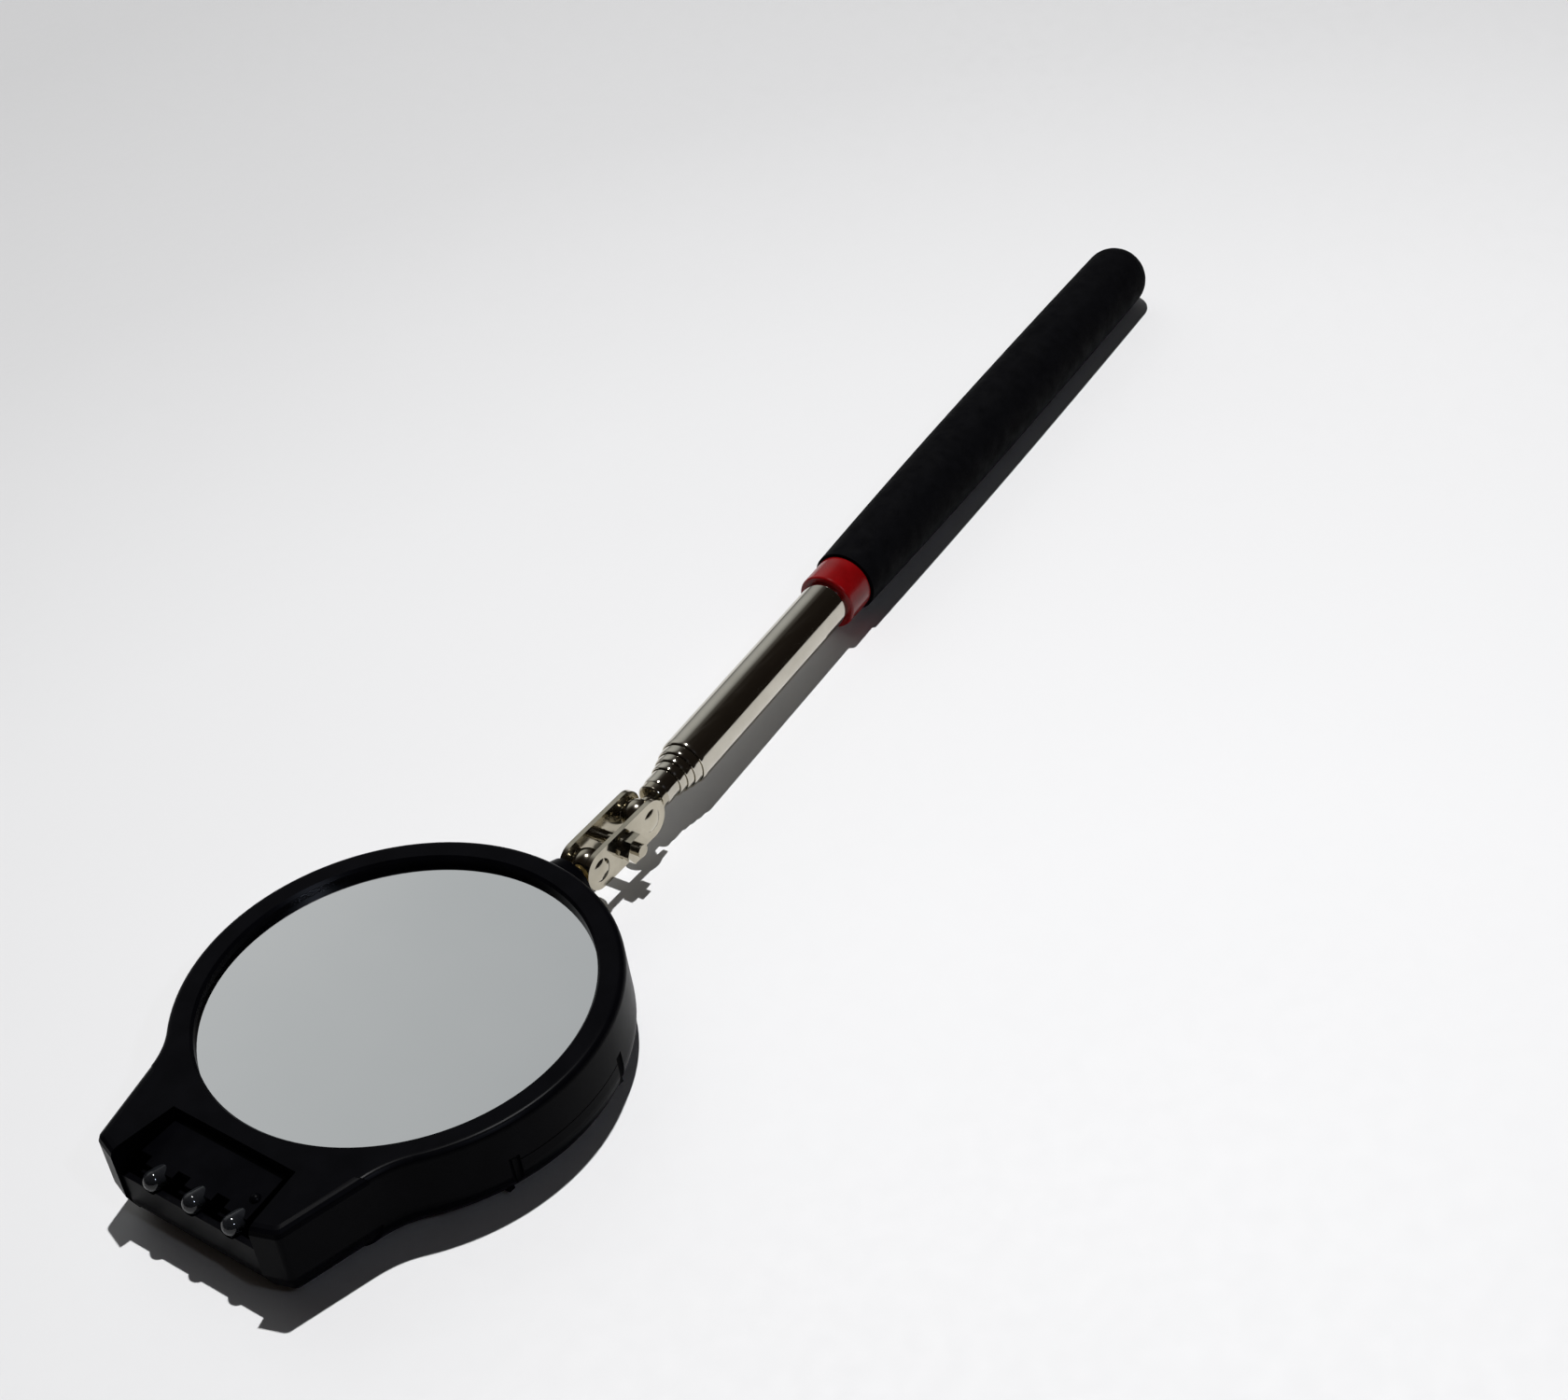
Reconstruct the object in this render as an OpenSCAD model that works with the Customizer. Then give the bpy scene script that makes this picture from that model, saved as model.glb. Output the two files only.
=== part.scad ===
// Telescoping lighted inspection mirror: a round mirror head with three lamps at its tail, a two-ball
// clamp link, and a five-section chromed tube in a soft grip. The head lies on its back, mirror up.
// Frame: origin under the mirror's centre on the resting plane, +X from the mirror to the link, +Z up.

/* [Mirror head] */
// Outer radius of the head's rim
head_r = 31.9; // [31.5:0.1:33]
// Thickness of the head
head_h = 13.9; // [13.8:0.1:14.4]
// Radius of mirror left visible inside the bezel
view_r = 28; // [26:0.1:28]
// Thickness of the mirror glass
glass_t = 2; // [1.6:0.1:2.2]
// Distance from the mirror's centre to the end of the tail
tail_len = 41.6; // [41:0.1:42.5]
// Half width of the tail at its end
tail_half_w = 17.1; // [16.7:0.1:17.5]
// Depth of the lamp pocket below the rim
pocket_depth = 3.1; // [2.8:0.1:3.2]
// Distance between lamps
lamp_pitch = 7.5; // [7:0.05:7.6]

/* [Link] */
// Distance from the mirror's centre to the head's ball
ball2_x = 39; // [38.8:0.1:41]
// Distance between the two ball centres
link_len = 12.1; // [11.8:0.1:13]
// Radius of both balls
ball_r = 2.5; // [2.4:0.05:2.6]
// Thickness of a clamp plate
plate_t = 0.8; // [0.7:0.05:1]
// Half height of a clamp plate
plate_r = 3.1; // [3:0.05:3.2]

/* [Handle] */
// Outer radius of the fixed tube
tube_r = 3.94; // [3.9:0.02:4.1]
// Radius lost from each tube section to the next
tube_step = 0.37; // [0.35:0.01:0.38]
// Distance from the handle's ball to the mouth of the fixed tube
mouth_x = 12.8; // [12.6:0.1:14]
// Length of the fixed tube
tube_len = 149; // [145:1:160]
// Chromed length between the tube's mouth and the collar
bare_len = 43.1; // [40:0.1:45]
// Length of the red collar
collar_len = 6; // [5:0.1:7]
// Length of the soft grip
grip_len = 103.7; // [103.5:0.1:110]
// Largest radius of the grip
grip_r = 5.92; // [5.7:0.01:6]

/* [Pose] */
// Turn of the link from the head's axis, in degrees
link_yaw = 2.6; // [0:0.1:3]
// Turn of the handle from the head's axis, in degrees
handle_yaw = 6.9; // [3:0.1:8]

/* [Hidden] */
$fn = 96;
eps = 0.02;

// heights in the head
stud_z = 6.9;            // axis of the studs, and the joint line of the two shells
lip_drop = 0.45;         // the bezel's inner edge lies this far under the rim
bevel_w = 0.4;           // width of the slope down to it
glass_top = head_h - lip_drop - 1;
glass_r = view_r + 0.5;
pad_t = 0.7;
back_t = 1.2;
glass_z = glass_top - glass_t;
pad_z = glass_z - pad_t;
back_z = pad_z - back_t;
pocket_z = head_h - pocket_depth;
board_z = stud_z + 0.25;
board_t = 1;
board_x = -27.6;         // edge of the board under the lamps' legs
lead_slope = 8;

// outline of the head
skin = 1.6;
floor_t = 1.2;
well_r = glass_r + 0.25;
base_fillet = 5.2;
base_r = head_r - base_fillet;
edge_round = 1.1;
side_slope = 15;         // turn of the tail's sides from the head's axis
flare_r = 14;            // hollow curve between the rim and the tail's side
corner_r = 1.2;
sweep = 1.2;             // how far each horn's outer corner lies behind its inner one
side_d = sin(side_slope) * (tail_len - 1) + cos(side_slope) * tail_half_w;
flare_t = -sqrt(pow(head_r + flare_r, 2) - pow(side_d + flare_r, 2));
flare_at = [-sin(side_slope) * (side_d + flare_r) + cos(side_slope) * flare_t,
            cos(side_slope) * (side_d + flare_r) + sin(side_slope) * flare_t];
flare_side = [flare_at[0] + sin(side_slope) * flare_r, flare_at[1] - cos(side_slope) * flare_r];
flare_rim = flare_at * head_r / (head_r + flare_r);
root_x = 18;             // the tail's block reaches this near to the mirror's centre
function side_y(x) = (side_d - corner_r - x * sin(side_slope)) / cos(side_slope);
wall_x = -(tail_len - 0.6);      // face between the two horns, under the lamps
sill_t = 0.9;                    // thickness of the wall there, in front of the lamp holder
front_x = -(tail_len - 2.8);     // front of the lamp holder
sill_z = 9.3;                    // top of that wall
horn_y = 12.5;                   // where the front of each horn begins to sweep back
pocket_x = -31;                  // wall at the back of the lamp pocket
pocket_y = 11.6;                 // half width of the pocket at its back
pocket_mouth = 13.3;             // and at its open front
holder_y = 9.2;                  // near side of the lamp holder's raised part
holder_base_z = 8.6;             // top of the holder's full-width base
holder_slope = 8;                // the holder rises towards the mirror by this angle

// fixings of the head
screw_ring = 27.6;
screw_at = [for (a = [38, 142, 218, 322]) [screw_ring * cos(a), screw_ring * sin(a)]];
boss_r = 2.3;
boss_z = 3.2;            // where the bosses of the two shells meet
screw_r = 1;
screw_head_r = 1.9;

// battery drawer, with its two coin cells
drawer_x = 10.6;
drawer_z = floor_t + 0.15;
drawer_top = stud_z - 0.15;
drawer_end = -8.4;       // inner end of the drawer
rail_end = -28.6;        // outer end of the rails beside it
rail_t = 1;
rail_h = 5.3;
cell_r = 10;
cell_t = 1.6;
cell_y = -19.6;
cell_z = 2.3;
slide_gap = 0.15;

// slide switch under the circuit board
switch_at = [-13, 12];
switch_travel = 2.4;

// lamps
lamp_r = 1.5;
lamp_out = 1.2;          // how far the round end of a lamp begins in front of its holder
lamp_tilt = 15;
lamp_z = 9.7;

// stud of the head and its boss
boss_end = ball2_x - 3.6;
bush_r = 2.6;
shank_r = 1.2;
neck_r = 1.1;
run_gap = 0.05;

// link
plate_in = 1.95;         // from the link's mid plane to a plate's inner face
plate_out = plate_in + plate_t;
link_screw_r = 1;

// handle
wall = 0.28;
lip = 0.04;              // running gap between a tube's mouth and the next tube
exposed = [0, 1.77, 3.2, 4.7, 7.58];       // how far each section stands out of the fixed tube
rear = [tube_len, 140, 132, 124, 116];    // inner end of each section, from the fixed tube's mouth
neck_len = 6;
neck_cut = 0.4;
ferrule_end = 8.96;
collar_x = mouth_x + bare_len;
grip_x = collar_x + collar_len;
grip_end = grip_x + grip_len;
grip_mid = grip_x + 54.5;  // where the grip is thickest
grip_lead_drop = 0.61;   // radius lost from there to the collar
grip_tail_drop = 0.22;   // radius lost from there over grip_tail
grip_tail = 42;
grip_nose = 5.4;         // length of the rounded butt
function grip_at(x) = x < grip_mid
    ? grip_r - grip_lead_drop * pow((grip_mid - x) / (grip_mid - grip_x), 2)
    : grip_r - grip_tail_drop * pow((x - grip_mid) / grip_tail, 2);
rest_x = grip_mid + 30;  // where the grip meets the resting plane
handle_tilt = asin((stud_z - grip_at(rest_x)) / rest_x);
ball1 = [ball2_x + link_len * cos(link_yaw), link_len * sin(link_yaw), stud_z];

black = [0.05, 0.05, 0.055];
chrome = [0.78, 0.77, 0.74];

// ---- placing ----

module on_link() translate([ball2_x, 0, stud_z]) rotate([0, 0, link_yaw]) children();

module on_handle() translate(ball1) rotate([0, 0, handle_yaw]) rotate([0, handle_tilt, 0]) children();

// Turns a shape made about Z so that it lies about X.
module along_x() rotate([0, 90, 0]) children();

module box(low, high) translate(low) cube(high - low);

function arc(c, r, a0, a1, n) = [for (i = [0 : n]) let (a = a0 + (a1 - a0) * i / n)
    [c[0] + r * cos(a), c[1] + r * sin(a)]];

// ---- shapes of the head ----

// The round part of both shells, with the rim's rounded edge and the base's large fillet.
module head_round(z0, z1) intersection() {
    rotate_extrude() polygon(concat([[0, 0], [base_r, 0]],
        arc([base_r, base_fillet], base_fillet, -90, 0, 12),
        arc([head_r - edge_round, head_h - edge_round], edge_round, 0, 90, 8),
        [[0, head_h]]));
    box([-40, -40, z0], [40, 40, z1]);
}

// One level of the tail on side s, set in by d from its full outline: the horn's inner corner, its outer
// corner and the root.
module tail_level(s, d, z0, z1) for (p = [[tail_len - corner_r, horn_y],
                                          [tail_len - sweep - corner_r, side_y(tail_len - sweep - corner_r)],
                                          [root_x - d, side_y(root_x)]])
    translate([d - p[0], s * (p[1] - d), z0]) cylinder(r = corner_r, h = z1 - z0, $fn = 32);

// How far a fillet of radius r draws the outline in at the height z above its foot.
function inset(r, z) = r - sqrt(pow(r, 2) - pow(r - z, 2));

// The tail above the joint line, with rounded top edges.
module tail_upper() hull() for (s = [-1, 1]) for (z = [0, 0.12, 0.45, edge_round])
    tail_level(s, inset(edge_round, z), stud_z, head_h - z);

// The tail below the joint line, with the same large fillet as the round part.
module tail_lower() hull() for (s = [-1, 1]) for (z = [0, 0.25, 0.9, 2.2, base_fillet])
    tail_level(s, inset(base_fillet, z), z, stud_z);

// Fills the corner between the rim and the tail's side, for the flare to be cut from.
module flare_block(z0, z1) for (s = [-1, 1]) translate([0, 0, z0]) linear_extrude(height = z1 - z0)
    polygon([flare_side, flare_rim, [-20, 14], [-30, 14]] * [[1, 0], [0, s]]);

// Takes the hollow flare from each side of the tail, following the round part's edges.
module flare_cut() for (s = [-1, 1]) translate([flare_at[0], s * flare_at[1], 0])
    rotate_extrude() polygon(concat([[0, -1], [flare_r + base_fillet, -1]],
        arc([flare_r + base_fillet, base_fillet], base_fillet, 270, 180, 12),
        arc([flare_r + edge_round, head_h - edge_round], edge_round, 180, 90, 8),
        [[flare_r + edge_round, head_h + 1], [0, head_h + 1]]));

// Keeps the tail's block behind the flares, so that it adds nothing to the rim.
module tail_keep() box([-tail_len - 1, -25, -1], [-root_x, 25, head_h + 1]);

module stud_boss() translate([head_r - 3, 0, stud_z]) along_x()
    cylinder(r1 = 5.6, r2 = 3.7, h = boss_end - head_r + 3);

// Room for the head's stud, its bush and the flange that keeps it in.
module stud_room() translate([0, 0, stud_z]) along_x() {
    translate([0, 0, boss_end - 4.4]) cylinder(r = bush_r, h = 6);
    translate([0, 0, boss_end - 6.6]) cylinder(r = 2.2, h = 3);
}

// The part of the lamp pocket between x0 and x1, with its sides set in by d.
module pocket(x0, x1, z0, z1, d = 0) intersection() {
    translate([0, 0, z0]) linear_extrude(height = z1 - z0) polygon([
        [pocket_x - d, pocket_y - d], [-tail_len - 1, pocket_mouth - d],
        [-tail_len - 1, d - pocket_mouth], [pocket_x - d, d - pocket_y]]);
    box([x0, -pocket_mouth - 1, z0 - 1], [x1, pocket_mouth + 1, z1 + 1]);
}

// Takes away the rear shell's front between the horns, down to a wall with a rounded foot.
module front_cut() intersection() {
    pocket(-tail_len - 1, wall_x + base_fillet, -1, stud_z + 1);
    rotate([90, 0, 0]) linear_extrude(height = 2 * pocket_mouth + 4, center = true) polygon(concat(
        [[-tail_len - 2, stud_z + 2], [-tail_len - 2, -2], [wall_x + base_fillet, -2]],
        arc([wall_x + base_fillet, base_fillet], base_fillet, 270, 180, 8),
        [[wall_x, stud_z + 2]]));
}

module front_shell() color(black) difference() {
    union() {
        head_round(stud_z, head_h);
        difference() {
            union() {
                intersection() { tail_upper(); tail_keep(); }
                flare_block(stud_z, head_h);
            }
            flare_cut();
        }
        intersection() { stud_boss(); box([head_r - 4, -7, stud_z], [boss_end, 7, head_h]); }
        for (p = screw_at) translate([p[0], p[1], boss_z]) cylinder(r = boss_r, h = back_z - boss_z);
    }
    // well for the backplate, pad and glass, then the opening and its bevel
    translate([0, 0, back_z]) cylinder(r = well_r, h = glass_top - back_z);
    cylinder(r = view_r, h = head_h + 1);
    translate([0, 0, head_h - lip_drop]) cylinder(r1 = view_r, r2 = view_r + 2 * bevel_w, h = 2 * lip_drop);
    // hollow under the backplate, clear of the screw bosses
    difference() {
        translate([0, 0, -eps]) cylinder(r = well_r, h = back_z + 2 * eps);
        for (p = screw_at) translate([p[0], p[1], 0]) cylinder(r = boss_r, h = back_z);
    }
    // lamp pocket, with its open front between the horns, and the way for the leads
    pocket(-tail_len - 1, 0, sill_z, head_h + 1);
    pocket(wall_x + sill_t, 0, stud_z - 1, sill_z + 1);
    pocket(-tail_len - 1, wall_x, stud_z - 1, sill_z + 1);
    for (i = [-1 : 1]) at_lamp(i) cylinder(r = lamp_r + 0.1, h = 5);
    box([pocket_x - eps, -10, stud_z - 1], [-27, 10, stud_z + 2.1]);
    stud_room();
    for (p = screw_at) translate([p[0], p[1], boss_z - 1]) cylinder(r = screw_r + eps, h = 6);
    nail_grooves();
}

// Half-round grooves for a fingernail at both ends of the battery drawer.
module nail_grooves() for (s = [-1, 1])
    translate([s * (drawer_x + 0.1), -sqrt(pow(head_r, 2) - pow(drawer_x, 2)), floor_t])
        cylinder(r = 0.8, h = stud_z + 0.9 - floor_t, $fn = 24);

module rear_shell() color(black) difference() {
    union() {
        difference() {
            union() {
                head_round(0, stud_z);
                difference() {
                    union() {
                        intersection() { tail_lower(); tail_keep(); }
                        flare_block(0, stud_z);
                    }
                    flare_cut();
                }
                intersection() { stud_boss(); box([head_r - 4, -7, 0], [boss_end, 7, stud_z]); }
            }
            // inside of the round part and of the tail
            translate([0, 0, floor_t]) rotate_extrude() polygon(concat([[0, 0], [base_r, 0]],
                arc([base_r, base_fillet - skin], base_fillet - skin, -90, 0, 8),
                [[head_r - skin, stud_z], [0, stud_z]]));
            box([front_x + skin, -13, floor_t], [-25, 13, stud_z + 1]);
        }
        // blocks that carry the stud bush, the screws and the drawer's rails
        intersection() {
            box([boss_end - 8.5, -5, floor_t - eps], [head_r - 1, 5, stud_z]);
            head_round(0, stud_z);
        }
        for (p = screw_at) translate([p[0], p[1], 0.3]) cylinder(r = boss_r, h = boss_z - 0.3);
        for (s = [-1, 1]) translate([s * (drawer_x + slide_gap + rail_t / 2), 0, floor_t - eps])
            box([-rail_t / 2, rail_end, 0], [rail_t / 2, drawer_end, rail_h]);
    }
    stud_room();
    // counterbored screw holes
    for (p = screw_at) translate([p[0], p[1], -1]) {
        cylinder(r = screw_r + 0.1, h = 10);
        cylinder(r = screw_head_r + 0.2, h = 2.4);
    }
    // mouth of the battery drawer
    box([-drawer_x - slide_gap, -head_r - 1, floor_t], [drawer_x + slide_gap, -24.5, stud_z + 1]);
    // slot and recess of the switch knob
    translate([switch_at[0], switch_at[1], 0]) {
        box([-3.6, -2.1, -1], [3.6 + eps, 2.1, 0.8]);
        box([-2.3, -1.1, -1], [2.3, 1.1, 2]);
    }
    front_cut();
    nail_grooves();
}

module mirror_glass() color([0.8, 0.85, 0.88])
    translate([0, 0, glass_z]) cylinder(r = glass_r, h = glass_t);

module mirror_pad() color([0.3, 0.3, 0.3])
    translate([0, 0, pad_z]) cylinder(r = glass_r - 1, h = pad_t);

module mirror_backplate() color([0.12, 0.12, 0.12])
    translate([0, 0, back_z]) cylinder(r = glass_r, h = back_t);

// ---- lamps ----

module at_lamp(i) translate([front_x + 0.1, i * lamp_pitch, lamp_z])
    rotate([0, lamp_tilt - 90, 0]) children();

// Height of the holder's sloping top above its front edge, at a distance d behind it.
function holder_rise(d) = d * tan(holder_slope);

// A full-width base, and on it a raised block with a sloping top, a gap beside it and a small dome.
module lamp_holder() color(black) difference() {
    union() {
        pocket(front_x + 0.1, 0, stud_z + 0.05, holder_base_z, 0.1);
        intersection() {
            pocket(front_x + 0.1, 0, holder_base_z - eps, head_h, 0.1);
            translate([front_x, 0, pocket_z]) rotate([0, -holder_slope, 0])
                box([-2, -holder_y, -4], [12, pocket_mouth, 0]);
        }
        translate([front_x + 3.2, -7.9, pocket_z + holder_rise(3.2) - 0.3]) sphere(r = 0.9, $fn = 32);
    }
    for (i = [-1 : 1]) at_lamp(i) {
        translate([0, 0, -4]) cylinder(r = lamp_r + 0.05, h = 8);
        translate([0, 0, -12]) cylinder(r = lamp_r + 0.35, h = 9.3);
    }
    for (i = [-0.5, 0.5, 1.5]) translate([0, i * lamp_pitch, 0])
        box([front_x, -1.2, 8.3], [front_x + 1.4, 1.2, pocket_z + 1]);
}

module lamp(i) color([0.85, 0.88, 0.9]) at_lamp(i) {
    translate([0, 0, -3.5]) cylinder(r = lamp_r, h = 3.5 + lamp_out);
    translate([0, 0, -3.5]) cylinder(r = lamp_r + 0.25, h = 0.75);
    translate([0, 0, lamp_out]) sphere(r = lamp_r, $fn = 48);
}

// Two legs from each lamp, straight back to the edge of the circuit board.
module lamp_leads() color([0.7, 0.7, 0.68]) for (i = [-1 : 1]) for (s = [-0.64, 0.64])
    translate([front_x + 3.6, i * lamp_pitch + s, lamp_z - 0.97]) rotate([0, 90 + lead_slope, 0])
        cylinder(r = 0.22, h = (board_x - 0.05 - front_x - 3.6) / cos(lead_slope), $fn = 16);

// ---- inside the head ----

module circuit_board() color([0.1, 0.35, 0.2]) difference() {
    union() {
        box([board_x, -9, board_z], [6, 9, board_z + board_t]);
        box([-20, -9, board_z], [6, 16.5, board_z + board_t]);
    }
    for (y = [-6, 6]) translate([2, y, board_z - 1]) cylinder(r = 0.9, h = 3);
}

module resistors() color([0.1, 0.1, 0.12]) for (i = [-1 : 1])
    translate([-24, i * lamp_pitch - 0.8, board_z - 0.6]) cube([3.2, 1.6, 0.6]);

module switch_body() color([0.6, 0.6, 0.62]) difference() {
    translate([switch_at[0] - 4.3, switch_at[1] - 2, 3.65]) cube([8.6, 4, board_z - 3.65]);
    translate([switch_at[0] - 2.3, switch_at[1] - 1, 3]) cube([4.6, 2, 1.9]);
}

// Thumb piece of the switch: ribbed cap in its recess, stem through the slot, flange inside.
module switch_knob() color(black) translate([switch_at[0] - switch_travel / 2, switch_at[1], 0]) {
    box([-2, -1.9, 0.3], [2, 1.9, 0.72]);
    for (x = [-1.4, 0, 1.4]) box([x - 0.2, -1.7, 0.1], [x + 0.2, 1.7, 0.3]);
    box([-0.9, -0.9, 0.7], [0.9, 0.9, 4.6]);
    box([-1.8, -1.6, 1.35], [1.8, 1.6, 2]);
}

// Leaf from the board to the top of the upper cell.
module contact_top() color([0.8, 0.72, 0.45]) {
    box([-2, -10, board_z - 0.2], [2, -7.2, board_z]);
    box([-2, -10.2, cell_z + 2 * cell_t + 0.25], [2, -10, board_z]);
    box([-2, -17, cell_z + 2 * cell_t + 0.25], [2, -10, cell_z + 2 * cell_t + 0.45]);
    translate([0, -15.5, cell_z + 2 * cell_t + 0.03]) cylinder(r = 1, h = 0.3);
}

// Leaf along the floor, up to the board, with a bump that reaches the lower cell through the drawer's slot.
module contact_bottom() color([0.8, 0.72, 0.45]) {
    box([-2, -17, floor_t], [2, -6, floor_t + 0.12]);
    translate([0, -15.5, floor_t]) cylinder(r = 1.2, h = cell_z - floor_t - 0.03);
    box([-2, -6, floor_t], [2, -5.8, board_z]);
}

module shell_screws() color([0.3, 0.3, 0.32]) for (p = screw_at) translate([p[0], p[1], 0.45]) difference() {
    union() {
        cylinder(r = screw_head_r, h = 0.95);
        cylinder(r = screw_r, h = 6.4);
    }
    translate([0, 0, -eps]) for (a = [0, 90]) rotate([0, 0, a]) box([-1.2, -0.25, 0], [1.2, 0.25, 0.6]);
}

module stud_bush() color([0.75, 0.6, 0.3]) translate([boss_end - 4.4, 0, stud_z]) along_x() difference() {
    cylinder(r = bush_r, h = 4.4);
    translate([0, 0, -1]) cylinder(r = shank_r + run_gap, h = 8);
}

// ---- battery drawer ----

module battery_drawer() color(black) difference() {
    intersection() {
        head_round(0, stud_z);
        box([-drawer_x, -head_r, drawer_z], [drawer_x, drawer_end, drawer_top]);
    }
    // seat of the cells, open upwards, and the channel above the inner wall for the upper contact
    translate([0, cell_y, cell_z]) cylinder(r = cell_r + 0.1, h = 10);
    box([-3, cell_y, cell_z + 2 * cell_t - 0.3], [3, drawer_end + 1, 10]);
    // slot for the lower contact
    box([-1.6, cell_y, 0], [1.6, drawer_end + 1, cell_z + 1]);
    box([-2.3, cell_y, 0], [2.3, drawer_end + 1, floor_t + 0.3]);
    nail_grooves();
}

module coin_cell(k) color([0.75, 0.76, 0.78]) translate([0, cell_y, cell_z + k * cell_t]) {
    cylinder(r = cell_r, h = cell_t - 0.25);
    cylinder(r = cell_r - 1.3, h = cell_t);
}

// ---- studs and link ----

// A ball on a neck, then a ferrule and a shank that turns in a bush, kept in by a flange.
module ball_stud(ferrule_x, ferrule_r, ferrule_len, edge, shank_end) along_x() {
    sphere(r = ball_r, $fn = 64);
    cylinder(r = neck_r, h = ferrule_x + 1);
    translate([0, 0, ferrule_x]) rotate_extrude() polygon(concat([[0, 0]],
        arc([ferrule_r - edge, edge], edge, -90, 0, 6), [[ferrule_r, ferrule_len], [0, ferrule_len]]));
    translate([0, 0, ferrule_x + ferrule_len - eps])
        cylinder(r = shank_r, h = shank_end - ferrule_x - ferrule_len);
    translate([0, 0, shank_end - 0.9]) cylinder(r = 1.8, h = 0.9);
}

module head_ball_stud() color(chrome) translate([ball2_x, 0, stud_z]) rotate([0, 0, 180])
    ball_stud(3.35, 1.5, 0.2, 0.08, 9);

module rod_ball_stud() color(chrome) on_handle()
    ball_stud(mouth_x - ferrule_end, 2.3, ferrule_end - exposed[4], 0.35, mouth_x - exposed[4] + 7.2);

// One stamped plate with a cup for each ball. The plate lies in the XZ plane, its inner face at y = 0.
module link_plate() difference() {
    union() {
        rotate([90, 0, 0]) linear_extrude(height = plate_t) {
            circle(r = plate_r);
            translate([link_len, 0]) circle(r = plate_r);
            translate([0, -plate_r]) square([link_len, 2 * plate_r]);
        }
        for (x = [0, link_len]) intersection() {
            translate([x, plate_in, 0]) sphere(r = ball_r + plate_t, $fn = 64);
            box([x - 4, -2, -4], [x + 4, -plate_t / 2, 4]);
        }
    }
    for (x = [0, link_len]) translate([x, plate_in, 0]) sphere(r = ball_r + run_gap, $fn = 64);
    translate([link_len / 2, 1, 0]) rotate([90, 0, 0]) cylinder(r = link_screw_r + 0.05, h = 4);
}

module link_plate_near() color(chrome) on_link() translate([0, -plate_in, 0]) link_plate();

module link_plate_far() color(chrome) on_link() mirror([0, 1, 0]) translate([0, -plate_in, 0]) link_plate();

// Places a shape made about Z on the link's cross axis, pointing to the near side.
module on_cross() on_link() translate([link_len / 2, 0, 0]) rotate([90, 0, 0]) children();

module link_screw() color(chrome) on_cross() difference() {
    union() {
        translate([0, 0, -plate_out]) cylinder(r = link_screw_r, h = 2 * plate_out + 3);
        translate([0, 0, -plate_out]) mirror([0, 0, 1]) rotate_extrude() polygon(concat([[0, 0], [1.9, 0]],
            arc([1.2, 0.5], 0.7, 0, 90, 6), [[0, 1.2]]));
    }
    translate([-0.25, -2, -plate_out - 1.3]) cube([0.5, 4, 0.7]);
}

module link_lock_washer() color(chrome) on_cross() translate([0, 0, plate_out]) difference() {
    cylinder(r = 2, h = 0.4);
    translate([0, 0, -1]) cylinder(r = link_screw_r + 0.05, h = 3);
    box([0, -0.2, -1], [3, 0.2, 2]);
}

module link_nut() color(chrome) on_cross() translate([0, 0, plate_out + 0.4]) difference() {
    cylinder(r = 2.31, h = 1.6, $fn = 6);
    translate([0, 0, -1]) cylinder(r = link_screw_r, h = 4);
}

// ---- telescoping tubes ----

function section_r(k) = tube_r - k * tube_step;

// One section, with its mouth rolled in to guide the next and a neck at the rear for its friction sleeve.
module section(k, necked) let (r = section_r(k), next = r - tube_step, len = rear[k] + exposed[k])
    translate([mouth_x - exposed[k], 0, 0]) along_x() rotate_extrude() polygon(concat(
        [[next + lip, 0.08], [next + lip + 0.07, 0]],
        [for (a = [0 : 15 : 90]) [next + lip + 0.1 + (r - next - lip - 0.1) * sin(a), 0.9 * (1 - cos(a))]],
        necked
            ? [[r, len - neck_len], [r - neck_cut, len - neck_len], [r - neck_cut, len],
               [r - neck_cut - wall, len], [r - neck_cut - wall, len - neck_len - wall],
               [r - wall, len - neck_len - wall]]
            : [[r, len], [r - wall, len]],
        [[r - wall, 0.9], [next + lip, 0.6]]));

// Split spring sleeve on the neck of section k, rubbing in the bore of the section outside it.
module friction_sleeve(k) let (r = section_r(k)) color([0.72, 0.6, 0.35]) on_handle()
    translate([mouth_x + rear[k] - neck_len, 0, 0]) along_x() difference() {
        cylinder(r = section_r(k - 1) - wall - 0.02, h = neck_len - 0.3);
        translate([0, 0, -1]) cylinder(r = r - neck_cut, h = neck_len + 2);
        box([0, -0.4, -1], [6, 0.4, neck_len + 1]);
    }

module outer_tube() color(chrome) on_handle() section(0, false);

module tube_plug() color(black) on_handle() translate([mouth_x + tube_len - 6, 0, 0]) along_x()
    cylinder(r = tube_r - wall, h = 6);

module rod_bush() color([0.75, 0.6, 0.3]) on_handle() translate([mouth_x - exposed[4] + 1, 0, 0]) along_x()
    difference() {
        cylinder(r = section_r(4) - wall, h = 5);
        translate([0, 0, -1]) cylinder(r = shank_r + run_gap, h = 7);
    }

module collar() color([0.72, 0.05, 0.08]) on_handle() translate([collar_x, 0, 0]) along_x()
    rotate_extrude() polygon(concat([[tube_r, 0]],
        arc([4.45, 0.4], 0.4, -90, 0, 6), [[4.85, 1.1]],
        arc([4.5, collar_len - 0.35], 0.35, 0, 90, 5), [[tube_r, collar_len]]));

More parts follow.
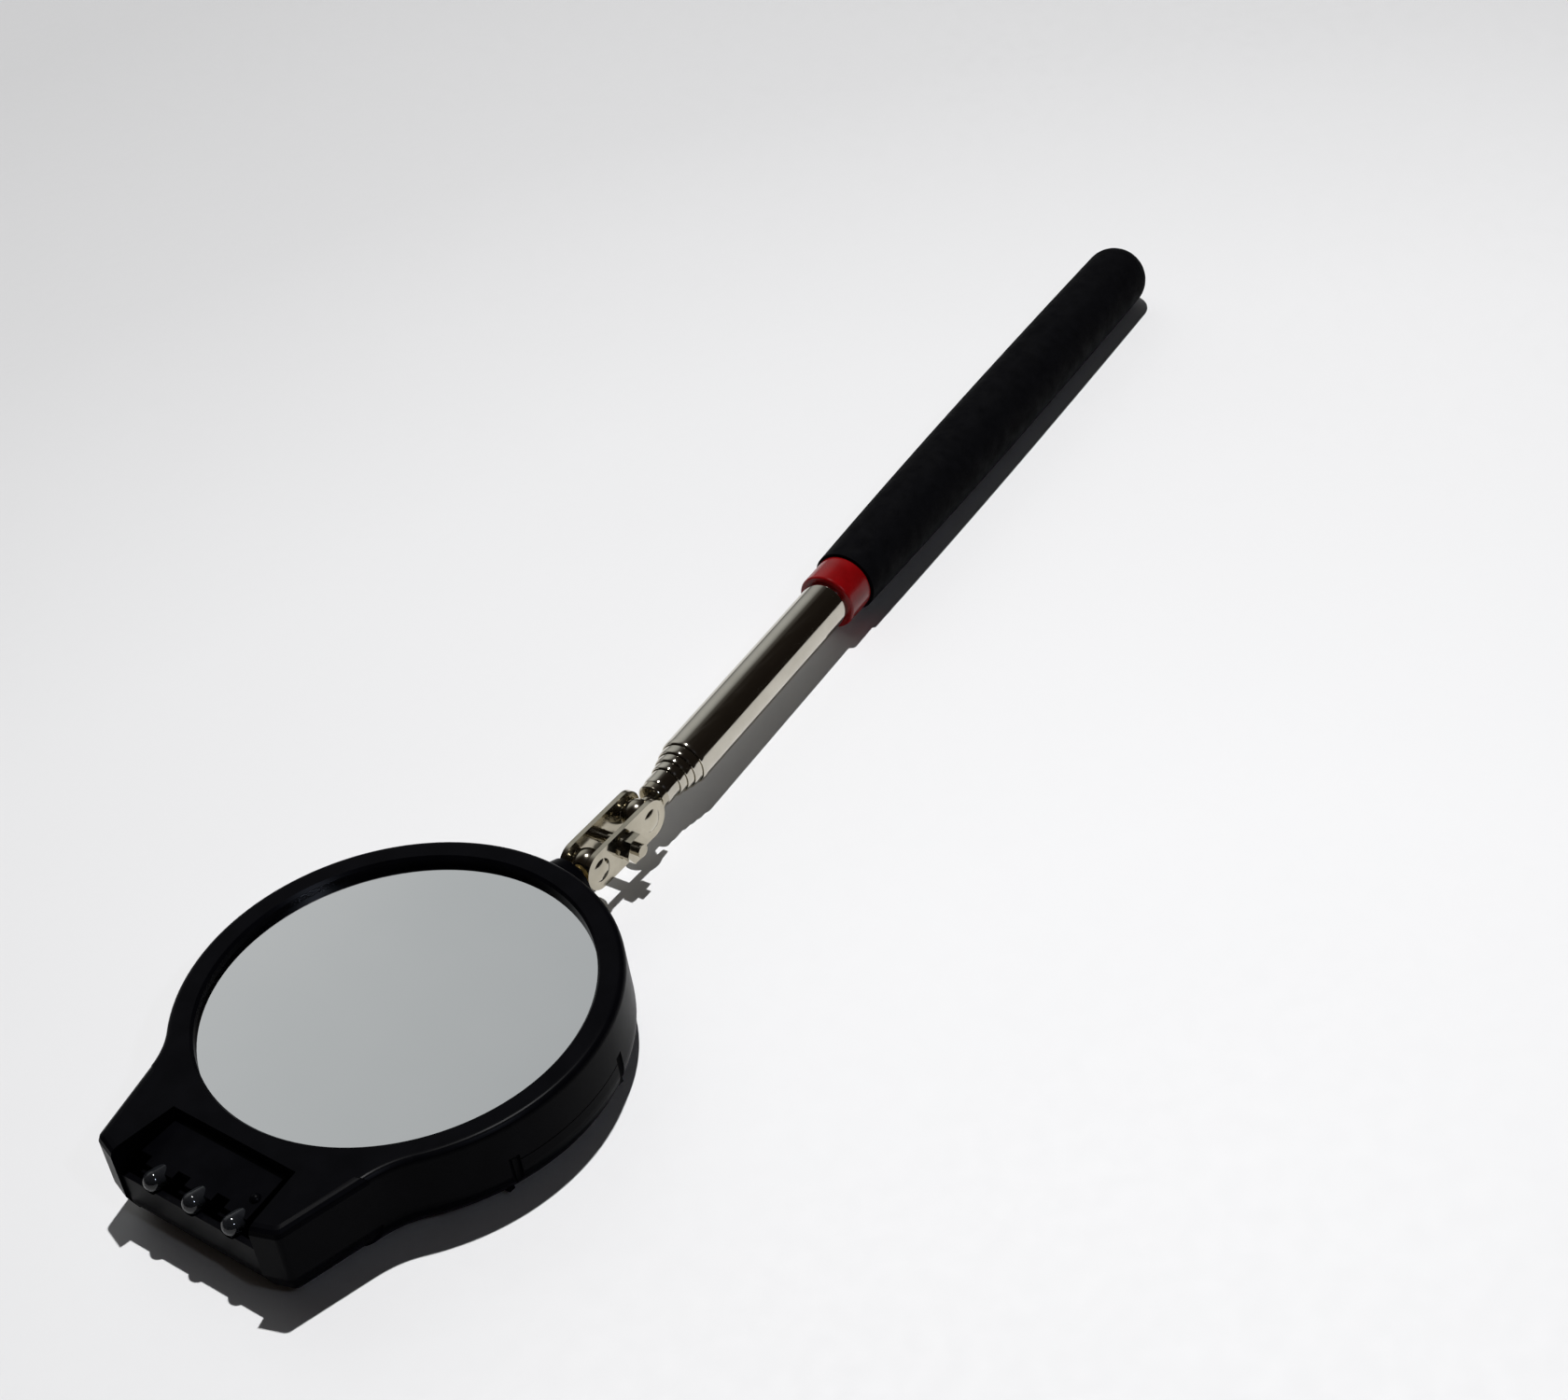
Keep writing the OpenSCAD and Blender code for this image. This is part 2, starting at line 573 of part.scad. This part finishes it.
module grip_sleeve() color(black) on_handle() difference() {
    along_x() rotate_extrude() polygon(concat([[0, grip_x]],
        [for (i = [0 : 24]) let (x = grip_x + (grip_end - grip_nose - grip_x) * i / 24) [grip_at(x), x]],
        [for (a = [9 : 9 : 90])
            [grip_at(grip_end - grip_nose) * cos(a), grip_end - grip_nose * (1 - sin(a))]]));
    along_x() translate([0, 0, grip_x - 1]) cylinder(r = tube_r, h = mouth_x + tube_len - grip_x + 1);
}

front_shell();
rear_shell();
mirror_glass();
mirror_pad();
mirror_backplate();
lamp_holder();
lamp(-1);  // lamp_near
lamp(0);  // lamp_middle
lamp(1);  // lamp_far
lamp_leads();
circuit_board();
resistors();
switch_body();
switch_knob();
contact_top();
contact_bottom();
shell_screws();
stud_bush();
battery_drawer();
coin_cell(0);  // coin_cell_lower
coin_cell(1);  // coin_cell_upper
head_ball_stud();
link_plate_near();
link_plate_far();
link_screw();
link_lock_washer();
link_nut();
rod_ball_stud();
rod_bush();
color(chrome) on_handle() section(4, true);  // tube_section_5
friction_sleeve(4);  // friction_sleeve_5
color(chrome) on_handle() section(3, true);  // tube_section_4
friction_sleeve(3);  // friction_sleeve_4
color(chrome) on_handle() section(2, true);  // tube_section_3
friction_sleeve(2);  // friction_sleeve_3
color(chrome) on_handle() section(1, true);  // tube_section_2
friction_sleeve(1);  // friction_sleeve_2
outer_tube();
tube_plug();
collar();
grip_sleeve();
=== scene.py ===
# Looks of a telescoping lighted inspection mirror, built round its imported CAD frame.
# Everything is in metres, in the CAD frame: origin under the mirror's centre, +X to the handle, +Z up.
import math

import bpy
from mathutils import Matrix, Vector

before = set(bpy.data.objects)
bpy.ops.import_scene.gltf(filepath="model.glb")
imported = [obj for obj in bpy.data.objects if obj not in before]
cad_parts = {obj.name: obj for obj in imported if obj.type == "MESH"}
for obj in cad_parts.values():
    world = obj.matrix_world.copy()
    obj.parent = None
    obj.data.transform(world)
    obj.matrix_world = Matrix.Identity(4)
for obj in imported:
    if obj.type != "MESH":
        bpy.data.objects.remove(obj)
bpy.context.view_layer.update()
MM = 0.001

# ---------------------------------------------------------------- camera

CAMERA_AT = Vector((-184.1, -258.6, 293.4)) * MM
CAMERA_TURN = math.radians(-46.2)      # heading, from +Y
CAMERA_DOWN = math.radians(37.73)      # below the horizon
CAMERA_ROLL = math.radians(-9.99)
CAMERA_LENS = 70.35                    # mm, for the sensor below
SENSOR_WIDTH = 36                      # mm


def make_camera():
    data = bpy.data.cameras.new("camera")
    data.lens = CAMERA_LENS
    data.sensor_width = SENSOR_WIDTH
    data.clip_start = 0.01
    data.clip_end = 20
    cam = bpy.data.objects.new("camera", data)
    bpy.context.scene.collection.objects.link(cam)
    cam.matrix_world = (Matrix.Translation(CAMERA_AT) @ Matrix.Rotation(CAMERA_TURN, 4, "Z")
                        @ Matrix.Rotation(math.pi / 2 - CAMERA_DOWN, 4, "X")
                        @ Matrix.Rotation(CAMERA_ROLL, 4, "Z"))
    bpy.context.scene.camera = cam


make_camera()

# ---------------------------------------------------------------- material nodes

NOISE_ROUGHNESS = 0.55
NOISE_LOW, NOISE_HIGH = 0.3, 0.7       # the part of a noise's range that holds most of its values

class Nodes:
    """Short calls for building one material's node tree."""

    def __init__(self, name):
        self.material = bpy.data.materials.new(name)
        self.material.use_nodes = True
        self.tree = self.material.node_tree
        self.shader = self.tree.nodes["Principled BSDF"]
        self.place = self.tree.nodes.new("ShaderNodeTexCoord").outputs["Object"]

    def add(self, kind, **values):
        node = self.tree.nodes.new(kind)
        for key, value in values.items():
            setattr(node, key, value)
        return node

    def join(self, source, target):
        self.tree.links.new(source, target)

    def set(self, **values):
        for key, value in values.items():
            self.shader.inputs[key.replace("_", " ")].default_value = value

    def scaled(self, scale):
        """Object coordinates stretched by a factor for each axis."""
        mapping = self.add("ShaderNodeMapping")
        mapping.inputs["Scale"].default_value = scale
        self.join(self.place, mapping.inputs["Vector"])
        return mapping.outputs["Vector"]

    def noise(self, scale, detail=4.0, at=None):
        node = self.add("ShaderNodeTexNoise")
        node.inputs["Scale"].default_value = scale
        node.inputs["Detail"].default_value = detail
        node.inputs["Roughness"].default_value = NOISE_ROUGHNESS
        self.join(at or self.place, node.inputs["Vector"])
        return node.outputs["Fac"]

    def voronoi(self, scale):
        node = self.add("ShaderNodeTexVoronoi", feature="F1")
        node.inputs["Scale"].default_value = scale
        self.join(self.place, node.inputs["Vector"])
        return node.outputs["Distance"]

    def ramp(self, source, stops):
        """Colour ramp from a list of (place, colour)."""
        node = self.add("ShaderNodeValToRGB")
        bands = node.color_ramp.elements
        while len(bands) < len(stops):
            bands.new(0.5)
        for band, (place, colour) in zip(bands, stops):
            band.position = place
            band.color = (*colour, 1)
        self.join(source, node.inputs["Fac"])
        return node.outputs["Color"]

    def span(self, source, low, high, start=0.0, end=1.0):
        """Maps start..end of a value to low..high."""
        node = self.add("ShaderNodeMapRange")
        for key, value in (("From Min", start), ("From Max", end), ("To Min", low), ("To Max", high)):
            node.inputs[key].default_value = value
        self.join(source, node.inputs["Value"])
        return node.outputs["Result"]

    def uneven(self, noise, low, high):
        """Maps a noise's usual values to low..high."""
        return self.span(noise, low, high, NOISE_LOW, NOISE_HIGH)

    def bump(self, height, strength, distance, under=None):
        node = self.add("ShaderNodeBump")
        node.inputs["Strength"].default_value = strength
        node.inputs["Distance"].default_value = distance
        self.join(height, node.inputs["Height"])
        if under is not None:
            self.join(under, node.inputs["Normal"])
        self.join(node.outputs["Normal"], self.shader.inputs["Normal"])
        return node.outputs["Normal"]


def black_plastic():
    """Moulded black plastic: a satin skin with fine grain and soft, uneven patches."""
    m = Nodes("moulded_black_plastic")
    m.set(Specular_IOR_Level=0.02)
    m.join(m.ramp(m.noise(220, 6), [(0.35, (0.0009, 0.0009, 0.0014)), (0.7, (0.0018, 0.0018, 0.0026))]),
           m.shader.inputs["Base Color"])
    m.join(m.uneven(m.noise(90, 5), 0.26, 0.38), m.shader.inputs["Roughness"])
    grain = m.bump(m.noise(5200, 2), 0.08, 0.00002)
    m.bump(m.noise(260, 3), 0.03, 0.0002, under=grain)
    return m.material


def mirror_silver():
    """Silvered glass: nearly perfect, with faint wiping streaks."""
    m = Nodes("silvered_mirror")
    m.set(Metallic=1.0)
    m.join(m.ramp(m.noise(30, 3), [(0.3, (0.72, 0.735, 0.74)), (0.7, (0.75, 0.76, 0.765))]),
           m.shader.inputs["Base Color"])
    streaks = m.noise(60, 4, at=m.scaled((1.0, 6.0, 1.0)))
    m.join(m.span(streaks, 0.015, 0.05, 0.35, 0.75), m.shader.inputs["Roughness"])
    m.bump(m.noise(18, 2), 0.02, 0.0002)
    return m.material


def plated(name, light, dark, rough, along):
    """Plated metal, with fine drawing lines along the part and small tarnish spots."""
    m = Nodes(name)
    m.set(Metallic=1.0)
    lines = m.noise(120, 4, at=m.scaled(along))
    m.join(m.ramp(m.noise(160, 5), [(0.3, dark), (0.65, light)]), m.shader.inputs["Base Color"])
    m.join(m.uneven(lines, rough[0], rough[1]), m.shader.inputs["Roughness"])
    m.bump(lines, 0.04, 0.00004)
    return m.material


def red_collar():
    """Glossy red plastic ring."""
    m = Nodes("glossy_red_plastic")
    m.set(Specular_IOR_Level=0.2, Coat_Weight=0.1, Coat_Roughness=0.08)
    m.join(m.ramp(m.noise(300, 4), [(0.3, (0.15, 0.0014, 0.0020)), (0.7, (0.20, 0.0022, 0.0032))]),
           m.shader.inputs["Base Color"])
    m.join(m.uneven(m.noise(200, 4), 0.18, 0.30), m.shader.inputs["Roughness"])
    m.bump(m.noise(700, 3), 0.06, 0.00005)
    return m.material


def foam_grip():
    """Matt black foam rubber: fine closed cells, with a skin that drinks the light."""
    m = Nodes("matt_black_foam")
    m.set(Specular_IOR_Level=0.03)
    m.join(m.ramp(m.noise(500, 6), [(0.3, (0.0010, 0.0010, 0.0014)), (0.7, (0.0024, 0.0024, 0.0031))]),
           m.shader.inputs["Base Color"])
    m.join(m.uneven(m.noise(400, 4), 0.62, 0.85), m.shader.inputs["Roughness"])
    cells = m.bump(m.voronoi(2600), 0.35, 0.00006)
    m.bump(m.noise(350, 4), 0.15, 0.0002, under=cells)
    return m.material


def plain_kind(name, light, dark, rough, metallic=0.0, scale=300):
    """A small hidden part's finish: two shades, uneven roughness and a fine bump."""
    m = Nodes(name)
    m.set(Metallic=metallic)
    m.join(m.ramp(m.noise(scale, 4), [(0.3, dark), (0.7, light)]), m.shader.inputs["Base Color"])
    m.join(m.uneven(m.noise(scale * 0.7, 4), rough[0], rough[1]), m.shader.inputs["Roughness"])
    m.bump(m.noise(scale * 6, 3), 0.10, 0.00003)
    return m.material


def lens_plastic():
    """Clear cast resin of a lamp, tinted dark as painted shade of the dark pocket seen through it,
    streaked inside.
    """
    m = Nodes("clear_lamp_resin")
    m.set(Transmission_Weight=0.5, IOR=1.4)
    # dark tint: painted shade standing in for the dark surroundings seen through the clear resin
    m.join(m.ramp(m.noise(500, 3), [(0.3, (0.014, 0.015, 0.018)), (0.7, (0.026, 0.028, 0.032))]),
           m.shader.inputs["Base Color"])
    m.join(m.uneven(m.noise(900, 3), 0.05, 0.14), m.shader.inputs["Roughness"])
    m.bump(m.noise(1200, 3), 0.05, 0.00003)
    return m.material


CHROME = plated("bright_plating", (0.56, 0.53, 0.46), (0.48, 0.45, 0.385), rough=(0.05, 0.12),
                along=(1.0, 14.0, 14.0))
LINK_NICKEL = plated("nickel_plate", (0.50, 0.46, 0.37), (0.36, 0.33, 0.26), rough=(0.07, 0.17),
                     along=(3.0, 3.0, 3.0))
MATERIALS = {
    "front_shell rear_shell lamp_holder battery_drawer": black_plastic(),
    "switch_knob": plain_kind("ribbed_black_knob", (0.020, 0.020, 0.022), (0.012, 0.012, 0.014),
                              (0.35, 0.5)),
    "mirror_glass": mirror_silver(),
    "mirror_pad": plain_kind("grey_foam_pad", (0.20, 0.20, 0.20), (0.14, 0.14, 0.14), (0.8, 0.95)),
    "mirror_backplate tube_plug": plain_kind("inner_black_plastic", (0.05, 0.05, 0.05),
                                             (0.03, 0.03, 0.03), (0.5, 0.65)),
    "lamp_near lamp_middle lamp_far": lens_plastic(),
    "lamp_leads": plain_kind("tinned_wire", (0.75, 0.75, 0.73), (0.6, 0.6, 0.58), (0.2, 0.35),
                             metallic=1.0),
    "circuit_board": plain_kind("green_board", (0.02, 0.16, 0.06), (0.01, 0.10, 0.04), (0.3, 0.45)),
    "resistors": plain_kind("chip_resistor_black", (0.03, 0.03, 0.035), (0.02, 0.02, 0.024), (0.4, 0.5)),
    "switch_body": plain_kind("switch_can", (0.62, 0.62, 0.63), (0.5, 0.5, 0.52), (0.3, 0.4),
                              metallic=1.0),
    "contact_top contact_bottom friction_sleeve_2 friction_sleeve_3 friction_sleeve_4 friction_sleeve_5 "
    "stud_bush rod_bush": plain_kind("spring_brass", (0.80, 0.62, 0.30), (0.66, 0.50, 0.22), (0.25, 0.4),
                                     metallic=1.0),
    "shell_screws": plain_kind("blackened_screw", (0.10, 0.10, 0.11), (0.05, 0.05, 0.055), (0.3, 0.45),
                               metallic=1.0),
    "coin_cell_lower coin_cell_upper": plain_kind("cell_steel", (0.72, 0.72, 0.73), (0.62, 0.62, 0.63),
                                                  (0.2, 0.32), metallic=1.0),
    "head_ball_stud rod_ball_stud link_plate_near link_plate_far link_screw link_lock_washer link_nut":
        LINK_NICKEL,
    "outer_tube tube_section_2 tube_section_3 tube_section_4 tube_section_5": CHROME,
    "collar": red_collar(),
    "grip_sleeve": foam_grip(),
}

for names, material in MATERIALS.items():
    for name in names.split():
        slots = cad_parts[name].data.materials
        for i in range(len(slots)):
            slots[i] = material
        if not slots:
            slots.append(material)

# ---------------------------------------------------------------- stage and light


TABLE_SIZE = 8
TABLE_DROP = 0.00002                   # keeps the tabletop clear of the faces that rest on it
# centre of the pool of light painted into the table's colour
PAINTED_LIGHT_SPOT = (0.03, -0.13, 0.0)
PAINTED_FALLOFF_RADIUS = 0.5
# table colour with a painted pool of light: brightest at the spot (0), painted darker out to the falloff
# radius (1)
TABLE_PAINTED_FALLOFF = [(0.0, 0.83), (0.18, 0.81), (0.32, 0.765), (0.46, 0.72), (0.68, 0.60), (0.93, 0.54)]


def make_stage():
    """A wide pale tabletop that the object lies on, with a painted pool of light: brightest in front of
    the object and painted darker away from it.
    """
    bpy.ops.mesh.primitive_plane_add(size=TABLE_SIZE, location=(0, 0, -TABLE_DROP))
    floor = bpy.context.object
    floor.name = "tabletop"
    m = Nodes("white_tabletop")
    away = m.add("ShaderNodeVectorMath", operation="DISTANCE")
    away.inputs[1].default_value = PAINTED_LIGHT_SPOT
    m.join(m.place, away.inputs[0])
    # painted light falloff: the table's colour darkens with distance from the painted light spot
    painted_falloff = m.ramp(m.span(away.outputs["Value"], 0.0, 1.0, 0.0, PAINTED_FALLOFF_RADIUS),
                  [(place, (white, white, white)) for place, white in TABLE_PAINTED_FALLOFF])
    mottle = m.ramp(m.noise(6, 4), [(0.3, (0.985, 0.985, 0.985)), (0.7, (1.0, 1.0, 1.0))])
    product = m.add("ShaderNodeVectorMath", operation="MULTIPLY")
    m.join(painted_falloff, product.inputs[0])
    m.join(mottle, product.inputs[1])
    m.join(product.outputs["Vector"], m.shader.inputs["Base Color"])
    m.join(m.uneven(m.noise(300, 3), 0.55, 0.75), m.shader.inputs["Roughness"])
    m.bump(m.noise(1500, 3), 0.03, 0.00003)
    floor.data.materials.append(m.material)


def square_light(name, at, size, power, colour):
    """A square lamp that faces the object."""
    data = bpy.data.lights.new(name, "AREA")
    data.shape = "RECTANGLE"
    data.size = data.size_y = size
    data.energy = power
    data.color = colour
    light = bpy.data.objects.new(name, data)
    bpy.context.scene.collection.objects.link(light)
    light.location = at
    light.rotation_mode = "QUATERNION"
    light.rotation_quaternion = (LIT_POINT - at).to_track_quat("-Z", "Y")
    return light


def make_world():
    """A dim room: a grey far side that the mirror looks at, and brown dusk everywhere else."""
    world = bpy.data.worlds.new("room")
    world.use_nodes = True
    tree = world.node_tree
    way = tree.nodes.new("ShaderNodeTexCoord").outputs["Generated"]
    facing = tree.nodes.new("ShaderNodeVectorMath")
    facing.operation = "DOT_PRODUCT"
    facing.inputs[1].default_value = FAR_SIDE
    tree.links.new(way, facing.inputs[0])
    bands = tree.nodes.new("ShaderNodeValToRGB")
    elements = bands.color_ramp.elements
    while len(elements) < len(ROOM_BANDS):
        elements.new(0.5)
    for element, (place, colour) in zip(elements, ROOM_BANDS):
        element.position = place
        element.color = (*colour, 1)
    tree.links.new(facing.outputs["Value"], bands.inputs["Fac"])
    tree.links.new(bands.outputs["Color"], tree.nodes["Background"].inputs["Color"])
    tree.nodes["Background"].inputs["Strength"].default_value = 1.0
    bpy.context.scene.world = world


def direction(turn, height):
    """Unit vector at a turn from +X and a height above the horizon, in degrees."""
    turn, height = math.radians(turn), math.radians(height)
    level = math.cos(height)
    return Vector((math.cos(turn) * level, math.sin(turn) * level, math.sin(height)))


FAR_SIDE = direction(68, 30)
# room colour by the cosine of the angle from the far side
ROOM_BANDS = [(0.0, (0.014, 0.011, 0.009)), (0.70, (0.020, 0.016, 0.013)), (0.84, (0.10, 0.095, 0.09)),
              (0.93, (0.46, 0.475, 0.48)), (1.0, (0.66, 0.67, 0.67))]
LIT_POINT = Vector((0.03, 0.0, 0.0))
LAMP_AWAY = 1.5
KEY_WAY = direction(19.5, 74)
SIDE_WAY = direction(-98, 45)


def make_light():
    make_world()
    side_at = LIT_POINT + SIDE_WAY * LAMP_AWAY
    square_light("key", LIT_POINT + KEY_WAY * LAMP_AWAY, 0.03, 24.0, (0.99, 0.99, 1.0))
    square_light("side", side_at, 0.025, 0.65, (0.80, 0.86, 1.0))
    glint = square_light("side_glint", side_at, 0.07, 9.0, (0.72, 0.80, 1.0))
    glint.visible_diffuse = False      # only reflections in the plating and the gloss


make_stage()
make_light()
bpy.context.scene.view_settings.view_transform = "Standard"
